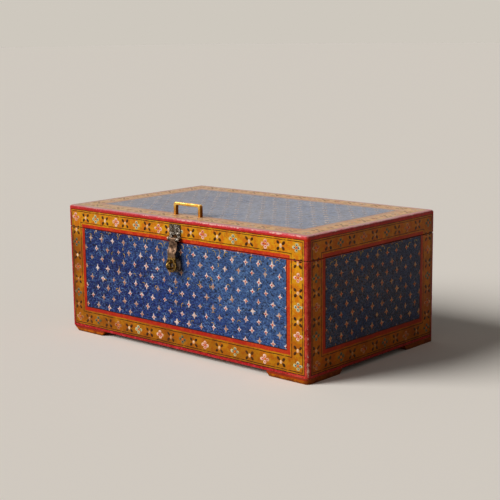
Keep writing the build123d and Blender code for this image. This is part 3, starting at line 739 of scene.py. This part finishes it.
class Face:
    """A painted face: its outline in millimetres, u to the right and v up as one looks at it."""

    def __init__(self, name, origin, right, up, outward, size):
        self.name = name
        self.origin = Vector(origin)
        self.right = Vector(right)
        self.up = Vector(up)
        self.outward = Vector(outward)
        self.width, self.tall = size

    def place(self, u, v, rise):
        return (self.origin + self.right * u + self.up * v + self.outward * rise) * MM


FRONT = Face("front", (-half_length, front_y, 0), (1, 0, 0), (0, 0, 1), (0, -1, 0), (length, height))
BACK = Face("back", (half_length, back_y, 0), (-1, 0, 0), (0, 0, 1), (0, 1, 0), (length, height))
RIGHT = Face("right", (half_length, front_y, 0), (0, 1, 0), (0, 0, 1), (1, 0, 0), (depth, height))
LEFT = Face("left", (-half_length, back_y, 0), (0, -1, 0), (0, 0, 1), (-1, 0, 0), (depth, height))
TOP = Face("top", (-half_length, front_y, height), (1, 0, 0), (0, 1, 0), (0, 0, 1), (length, depth))


def clipped(outline, limits):
    """A convex outline cut to a rectangle given as (u0, v0, u1, v1)."""
    u0, v0, u1, v1 = limits
    for axis, bound, sign in ((0, u0, 1), (0, u1, -1), (1, v0, 1), (1, v1, -1)):
        kept = []
        for a, b in zip(outline, outline[1:] + outline[:1]):
            inside_a = (a[axis] - bound) * sign
            inside_b = (b[axis] - bound) * sign
            if inside_a >= 0:
                kept.append(a)
            if inside_a * inside_b < 0:
                t = inside_a / (inside_a - inside_b)
                kept.append((a[0] + (b[0] - a[0]) * t, a[1] + (b[1] - a[1]) * t))
        outline = kept
        if len(outline) < 3:
            return []
    return outline


def add_object(name, data):
    """A new object in the scene."""
    thing = bpy.data.objects.new(name, data)
    bpy.context.scene.collection.objects.link(thing)
    return thing


class Strokes:
    """Low raised brush strokes on one face, gathered into one piece."""

    def __init__(self, face, limits=None):
        self.face = face
        self.limits = limits
        self.vertices = []
        self.faces = []
        self.paints = []

    def stroke(self, outline, paint, layer=0):
        """A convex outline in the face's millimetres. A higher layer lies on top of a lower one."""
        if self.limits:
            outline = clipped(outline, self.limits)
        if len(outline) < 3:
            return
        turns = sum(a[0] * b[1] - b[0] * a[1] for a, b in zip(outline, outline[1:] + outline[:1]))
        if turns < 0:
            outline = outline[::-1]
        count = len(outline)
        middle_u = sum(p[0] for p in outline) / count
        middle_v = sum(p[1] for p in outline) / count
        rise = STROKE_RISE + layer * LAYER_RISE
        start = len(self.vertices)
        for u, v in outline:
            self.vertices.append(self.face.place(u, v, -STROKE_SINK))
        for u, v in outline:
            top_u = middle_u + (u - middle_u) * STROKE_TOP_SHARE
            top_v = middle_v + (v - middle_v) * STROKE_TOP_SHARE
            self.vertices.append(self.face.place(top_u, top_v, rise))
        for i in range(count):
            j = (i + 1) % count
            self.faces.append((start + i, start + j, start + count + j, start + count + i))
        self.faces.append(tuple(range(start + count, start + 2 * count)))
        self.paints += [STROKE_ORDER.index(paint)] * (count + 1)

    def pointed(self, shape, u, v, angle, size, width, paint, layer=0):
        """A petal or a leaf of this size and width, laid from a place at an angle."""
        along_u, along_v = math.cos(angle), math.sin(angle)
        outline = []
        for along, across in shape:
            out, side = along * size, across * width
            outline.append((u + along_u * out - along_v * side, v + along_v * out + along_u * side))
        self.stroke(outline, paint, layer)

    def dab(self, u, v, radius_u, radius_v, paint, layer=0, corners=8):
        """A round dab of the brush, never quite round."""
        outline = []
        for i in range(corners):
            a = 2 * math.pi * i / corners
            wobble = rng.uniform(0.9, 1.1)
            outline.append((u + math.cos(a) * radius_u * wobble, v + math.sin(a) * radius_v * wobble))
        self.stroke(outline, paint, layer)

    def make(self, name, body):
        mesh = bpy.data.meshes.new(name)
        mesh.from_pydata(self.vertices, [], self.faces)
        for material in STROKE_PAINTS:
            mesh.materials.append(material)
        for polygon, index in zip(mesh.polygons, self.paints):
            polygon.material_index = index
            polygon.use_smooth = True
        mesh.validate()
        piece = add_object(name, mesh)
        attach(piece, body)


rng = random.Random(41)
scroll_rng = random.Random(12)


def jitter(amount):
    return rng.uniform(-amount, amount)


# ---------------------------------------------------------------- the fields' stars and scrolls

# A star's petals and its core, and the share of the stars that have a heart.
STAR_REACH = 5.0
STAR_WIDTH = 2.5
STAR_CORE = 2.05
HEARTED_SHARE = 0.88
# A scroll's strokes lie along an arc of this many radians, in a layer of their own under the petals.
SCROLL_STROKES = 6
SCROLL_SWEEP = 2.2
UNDER_STARS = -0.5


def paint_star(strokes, u, v, petal_paint, heart_paint):
    """Four thin pointed petals on a broad core and a dab in the middle, each star a little different."""
    scale = rng.uniform(0.86, 1.1)
    lean = jitter(0.14)
    for quarter in range(4):
        reach = STAR_REACH * scale * rng.uniform(0.72, 1.12)
        if quarter % 2 == 0:
            reach *= 0.88
        width = STAR_WIDTH * scale * rng.uniform(0.8, 1.15)
        strokes.pointed(PETAL, u, v, lean + quarter * math.pi / 2, reach, width, petal_paint)
    core = STAR_CORE * scale
    strokes.dab(u, v, core, core * 1.12, petal_paint, layer=1)
    if rng.random() < HEARTED_SHARE:
        dot = rng.uniform(1.1, 1.5)
        heart_u = u + jitter(0.4)
        heart_v = v + rng.uniform(-0.6, 0.3)
        strokes.dab(heart_u, heart_v, dot, dot * 1.1, heart_paint, layer=2, corners=7)


def field_star(strokes, u, v):
    """Stars: dust and painted sheen on the lid, painted shade on the ends, paler to the right on long sides.
    """
    if strokes.face is TOP:
        paints = "dust_and_sheen", "dust_and_sheen_red"
    elif strokes.face in (RIGHT, LEFT):
        paints = "dim", "red"
    elif rng.random() < 0.15 + 0.8 * u / strokes.face.width:
        paints = "star", "red"
    else:
        paints = "peach", "rose"
    paint_star(strokes, u, v, *paints)


def paint_scroll(strokes, u, v, turn, reach):
    """A thin ochre scroll under the stars: short strokes along an arc, thickest in the middle."""
    for i in range(SCROLL_STROKES):
        share = i / (SCROLL_STROKES - 1)
        a = turn + (share - 0.5) * SCROLL_SWEEP
        leaf_u = u + math.cos(a) * reach
        leaf_v = v + math.sin(a) * reach
        width = 0.75 + 0.45 * math.sin(share * math.pi)
        strokes.pointed(LEAF, leaf_u, leaf_v, a + math.pi / 2, reach * 0.42, width, "ochre", UNDER_STARS)


def hanging_scrolls(strokes):
    """Scrolls along the top of an upright field."""
    low_u, _, high_u, high_v = strokes.limits
    for u in range(int(low_u) + 8, int(high_u) - 6, HANGING_SCROLL_STEP):
        scroll_u = u + jitter(4.0)
        scroll_v = high_v - rng.uniform(2.5, 9.0)
        turn = rng.uniform(0.2, 2.6)
        paint_scroll(strokes, scroll_u, scroll_v, turn, rng.uniform(2.4, 4.2))


def scattered_scrolls(strokes):
    """Smaller scrolls here and there in a long field, rather more of them to the right."""
    low_u, low_v, high_u, high_v = strokes.limits
    for _ in range(SCATTERED_SCROLLS):
        u = scroll_rng.triangular(low_u + 10.0, high_u - 10.0, strokes.face.width * 0.62)
        v = scroll_rng.uniform(low_v + 6.0, high_v - 12.0)
        turn = scroll_rng.uniform(0.0, 6.2)
        paint_scroll(strokes, u, v, turn, scroll_rng.uniform(1.8, 3.0))


def smooth_step(value, low, high):
    t = min(1.0, max(0.0, (value - low) / (high - low)))
    return t * t * (3 - 2 * t)


def field_stars(face, limits, layout, body):
    """Stars in rows set half a pitch apart, drawn from the top down and cut off by the band round them."""
    strokes = Strokes(face, limits)
    low_u, low_v, high_u, high_v = limits
    left_spacing, right_spacing = layout.spacing
    for row in range(STAR_ROWS):
        half = 0.5 if (row % 2 == 1) == layout.half_on_odd else 0.0
        for column in range(-1, STAR_COLUMNS):
            u = layout.start + layout.pitch * (column + half) + jitter(0.9)
            spacing = left_spacing + (right_spacing - left_spacing) * smooth_step(u, *layout.closing)
            v = face.tall - layout.first_row - spacing * row + jitter(0.8)
            across = low_u - STAR_OVERLAP < u < high_u + STAR_OVERLAP
            if across and low_v - STAR_OVERLAP < v < high_v + STAR_OVERLAP:
                field_star(strokes, u, v)
    if face is not TOP:
        hanging_scrolls(strokes)
    if face in (FRONT, BACK):
        scattered_scrolls(strokes)
    strokes.make(f"{face.name}_stars", body)


field_stars(FRONT, FRONT_FIELD, LONG_STARS, "chest")
field_stars(BACK, BACK_FIELD, LONG_STARS, "chest")
field_stars(RIGHT, END_FIELD, END_STARS, "chest")
field_stars(LEFT, END_FIELD, END_STARS, "chest")
field_stars(TOP, LID_FIELD, LID_STARS, "lid")

# ---------------------------------------------------------------- the borders' flowers and leaves

MotifPaints = namedtuple("MotifPaints", "white pink mist blue cream leaf core")
CLEAR = MotifPaints("white", "pink", "mist", "blue", "cream", "leaf", "orange")
# Dim paints, a painted shade on the ends, and also for a lower left corner.
DIM = MotifPaints("dim_white", "dim_pink", "dim_mist", "dim_blue", "dim_cream", "leaf", "orange")
# Pale paints for the lid's motifs, for its dust and a painted sheen.
DUST_SHEEN_MOTIFS = MotifPaints(
    "dust_and_sheen_petal", "dust_and_sheen_heart", "dust_and_sheen_petal", "dust_and_sheen", "dust_and_sheen_petal", "dust_and_sheen_leaf", "dust_and_sheen_heart"
)


def paint_flower(strokes, u, v, petal_paint, heart_paint, core_paint):
    """Four round petals, each with a darker heart, round a bright core."""
    spread = rng.uniform(3.3, 3.8)
    for quarter in range(4):
        a = quarter * math.pi / 2 + jitter(0.12)
        petal_u = u + math.cos(a) * spread * 1.16
        petal_v = v + math.sin(a) * spread
        strokes.dab(petal_u, petal_v, rng.uniform(2.4, 2.95), rng.uniform(2.0, 2.5), petal_paint, corners=9)
        heart_u = u + math.cos(a) * spread * rng.uniform(0.84, 1.0)
        heart_v = v + math.sin(a) * spread * rng.uniform(0.8, 0.94)
        heart = rng.uniform(1.1, 1.6)
        strokes.dab(heart_u, heart_v, heart, heart * 0.9, heart_paint, layer=1, corners=7)
    strokes.dab(u, v, 1.5, 1.4, core_paint, layer=2)


def paint_cross(strokes, u, v, leaf_paint, bud_paint, tip_paint):
    """Four dark leaves set on the diagonals round a pale bud."""
    for side_u in (-1, 1):
        for side_v in (-1, 1):
            leaf_u = u + side_u * rng.uniform(3.7, 4.4)
            leaf_v = v + side_v * rng.uniform(3.0, 3.7)
            slope = math.atan2(side_v * 3.0, side_u * 3.2)
            size = rng.uniform(5.2, 6.4)
            strokes.pointed(LEAF, leaf_u, leaf_v, slope, size, rng.uniform(3.5, 4.4), leaf_paint)
    strokes.dab(u, v, rng.uniform(1.8, 2.2), rng.uniform(2.3, 2.8), bud_paint, layer=1, corners=9)
    strokes.dab(u, v + jitter(0.6), 0.9, 1.0, tip_paint, layer=2, corners=7)


def paint_motif(strokes, u, v, index):
    """The border's order: pink flower, cross, blue flower, cross, in the paints of its place."""
    low_corner = v < seam_z and u + v < rng.uniform(60.0, 320.0)
    # The lid's paints show dust and a painted sheen; dim ones paint the ends' shade and a lower left corner.
    paints = CLEAR
    if strokes.face is TOP:
        paints = DUST_SHEEN_MOTIFS
    elif strokes.face in (RIGHT, LEFT) or low_corner:
        paints = DIM
    if index % 2:
        paint_cross(strokes, u, v, paints.leaf, paints.cream, paints.white)
    elif index % 4 == 0:
        paint_flower(strokes, u, v, paints.white, paints.pink, paints.core)
    else:
        paint_flower(strokes, u, v, paints.mist, paints.blue, paints.core)


def even_places(first, last, count):
    return [first + (last - first) * i / (count - 1) for i in range(count)]


def long_side_places():
    places = [BAND_CENTRE + CLOSE_STEP * i for i in range(CLOSE_MOTIFS)]
    return places + [places[-1] + WIDE_STEP * (i + 1) for i in range(WIDE_MOTIFS)]


def border(face, along):
    """The motifs round an upright face, cut at the seam: the lid carries the top row, the chest the rest."""
    cut = BACK_SEAM_CUT if face is BACK else SEAM_CUT
    on_lid = Strokes(face, (0, lid_rail_z + cut, face.width, height))
    on_chest = Strokes(face, (0, foot_height, face.width, seam_z - cut))
    for i, u in enumerate(along):
        paint_motif(on_lid, u + jitter(1.2), height - BAND_CENTRE + jitter(0.5), i)
        paint_motif(on_chest, u + jitter(1.2), LOW_ROW_Z + jitter(0.5), i)
    uprights = even_places(height - BAND_CENTRE, UPRIGHTS_END_Z, UPRIGHT_MOTIFS)
    for u, first in ((BAND_CENTRE, 0), (face.width - BAND_CENTRE, len(along) - 1)):
        for i, v in list(enumerate(uprights))[1:-1]:
            u_here = u + jitter(0.5)
            v_here = v - 0.5 + jitter(0.6)
            before = rng.getstate()
            paint_motif(on_chest, u_here, v_here, first + i)
            # The highest of these crosses the seam, so the lid has the same motif.
            if i == 1:
                rng.setstate(before)
                paint_motif(on_lid, u_here, v_here, first + i)
    on_lid.make(f"{face.name}_border_lid", "lid")
    on_chest.make(f"{face.name}_border_chest", "chest")


def lid_border():
    """The motifs round the lid's top."""
    strokes = Strokes(TOP)
    for i, u in enumerate(even_places(LID_BAND_CENTRE, length - LID_BAND_CENTRE, LID_LONG_MOTIFS)):
        for v in (LID_BAND_CENTRE, depth - LID_BAND_CENTRE):
            paint_motif(strokes, u + jitter(1.0), v + jitter(0.5), i)
    deep = even_places(LID_BAND_CENTRE, depth - LID_BAND_CENTRE, LID_SHORT_MOTIFS)
    for i, v in list(enumerate(deep))[1:-1]:
        for u, first in ((LID_BAND_CENTRE, 0), (length - LID_BAND_CENTRE, LID_LONG_MOTIFS - 1)):
            paint_motif(strokes, u + jitter(0.5), v + jitter(1.0), first + i)
    strokes.make("top_border", "lid")


border(FRONT, long_side_places())
border(BACK, long_side_places())
border(RIGHT, even_places(BAND_CENTRE, depth - BAND_CENTRE - 1.0, END_MOTIFS))
border(LEFT, even_places(BAND_CENTRE, depth - BAND_CENTRE - 1.0, END_MOTIFS))
lid_border()

# ---------------------------------------------------------------- finishes on the CAD nodes


def coat(material, *names):
    for name in names:
        node = nodes[name]
        node.data.materials.clear()
        node.data.materials.append(material)


hinge_nodes = [name for name in nodes if name.startswith("hinge_")]
feet = [name for name in nodes if name.startswith("foot_") and name != "foot_nails"]

coat(board_finish("painted_long_boards", 0), "front_board", "back_board", "lid_front_rail", "lid_back_rail")
coat(board_finish("painted_lid_top", 0, dust_sheen=0.35), "lid_top_board")
coat(board_finish("painted_short_boards", 1), "left_board", "right_board", "lid_left_rail", "lid_right_rail")
coat(bare_finish("bottom_wood", 0), "bottom_board")
coat(foot_finish(), *feet)
coat(iron_finish(), "hasp_pin", "staple_rose", "bottom_nails", "foot_nails", "lid_nails", *hinge_nodes)
coat(engraved_finish(), "hasp_plate", "hasp_plate_nails")
coat(brass_finish(), "staple", "pull_screws", "pull_washers")
coat(strap_finish(), "hasp_strap")
coat(pull_finish(), "pull")

# ---------------------------------------------------------------- floor, world, lamp, camera

FLOOR_REACH_M = 40.0
FLOOR_ROUGHNESS = 0.9
FLOOR_SEEN = colour(241, 237, 231)
FLOOR_BOUNCE = colour(210, 190, 160)
# The backdrop's colour at the horizon and higher up, and how high the sweep between them starts and ends.
BACKDROP = colour(206, 200, 190)
BACKDROP_TOP = colour(232, 232, 234)
BACKDROP_SWEEP = (0.01, 0.4)
SOFT_LIGHT = (1.0, 0.93, 0.85, 1.0)
SOFT_LIGHT_STRENGTH = 0.13

LAMP_COLOUR = (1.0, 0.97, 0.93)
LAMP_STRENGTH = 3.4
LAMP_SPREAD_DEG = 34
LAMP_TOWARDS = (0.5, 0.68, -0.54)

# The camera stands this far from the middle of the chest's plan on the floor.
CAMERA_PLACE_M = (0.9974, -1.1066, 0.3859)
CAMERA_TURN_DEG = -41.89
CAMERA_TILT_DEG = 10.39
CAMERA_ROLL_DEG = 0.66
CAMERA_LENS = 84.32
CAMERA_SENSOR = 36.0
CAMERA_CLIP_M = 60.0


def seen_directly(graph):
    """1 for what the camera, a gloss or a glass sees, and 0 for light that spreads."""
    path = graph.add("ShaderNodeLightPath")
    rays = ("Is Camera Ray", "Is Glossy Ray", "Is Transmission Ray")
    return graph.greatest(*(graph.out(path, ray) for ray in rays))


def add_floor():
    """A plain pale floor, which throws a slightly warmer light back at the chest."""
    reach = FLOOR_REACH_M
    mesh = bpy.data.meshes.new("floor")
    corners = [(-reach, -reach, 0), (reach, -reach, 0), (reach, reach, 0), (-reach, reach, 0)]
    mesh.from_pydata(corners, [], [(0, 1, 2, 3)])
    f = Finish("floor_pale", {"Specular IOR Level": 0.0})
    f.paint(f.mix(seen_directly(f), FLOOR_BOUNCE, FLOOR_SEEN), FLOOR_ROUGHNESS)
    mesh.materials.append(f.material)
    floor = add_object("floor", mesh)


def set_world():
    """Even soft light from all round, and a pale grey behind everything the camera or a gloss sees."""
    world = bpy.data.worlds.new("studio")
    bpy.context.scene.world = world
    world.use_nodes = True
    graph = Graph(world.node_tree)
    _, _, rise = graph.split(graph.out(graph.add("ShaderNodeTexCoord"), "Generated"))
    sweep = graph.mix(graph.ramp(rise, *BACKDROP_SWEEP), BACKDROP, BACKDROP_TOP)
    light = graph.add("ShaderNodeBackground", {"Color": SOFT_LIGHT, "Strength": SOFT_LIGHT_STRENGTH})
    seen = graph.add("ShaderNodeBackground", {"Color": sweep})
    choice = {0: seen_directly(graph), 1: graph.out(light), 2: graph.out(seen)}
    graph.add("ShaderNodeOutputWorld", {"Surface": graph.out(graph.add("ShaderNodeMixShader", choice))})


def add_key_light():
    """One broad soft lamp from the upper left, in front of the chest."""
    lamp = bpy.data.lights.new("key", "SUN")
    lamp.energy = LAMP_STRENGTH
    lamp.angle = math.radians(LAMP_SPREAD_DEG)
    lamp.color = LAMP_COLOUR
    key = add_object("key", lamp)
    key.rotation_mode = "QUATERNION"
    key.rotation_quaternion = Vector(LAMP_TOWARDS).to_track_quat("-Z", "Y")


def add_camera():
    """The photograph's viewpoint."""
    turn, tilt, roll = (math.radians(a) for a in (CAMERA_TURN_DEG, CAMERA_TILT_DEG, CAMERA_ROLL_DEG))
    forward = Vector((math.sin(turn) * math.cos(tilt), math.cos(turn) * math.cos(tilt), -math.sin(tilt)))
    right = Vector((math.cos(turn), -math.sin(turn), 0))
    down = forward.cross(right)
    rolled_right = right * math.cos(roll) + down * math.sin(roll)
    rolled_down = down * math.cos(roll) - right * math.sin(roll)
    axes = Matrix((rolled_right, -rolled_down, -forward)).transposed().to_4x4()
    data = bpy.data.cameras.new("camera")
    data.lens = CAMERA_LENS
    data.sensor_width = CAMERA_SENSOR
    data.clip_end = CAMERA_CLIP_M
    camera = add_object("camera", data)
    place = Vector((0, middle_y * MM, 0)) + Vector(CAMERA_PLACE_M)
    camera.matrix_world = Matrix.Translation(place) @ axes
    bpy.context.scene.camera = camera


add_floor()
set_world()
add_key_light()
add_camera()
bpy.context.scene.view_settings.view_transform = "Standard"
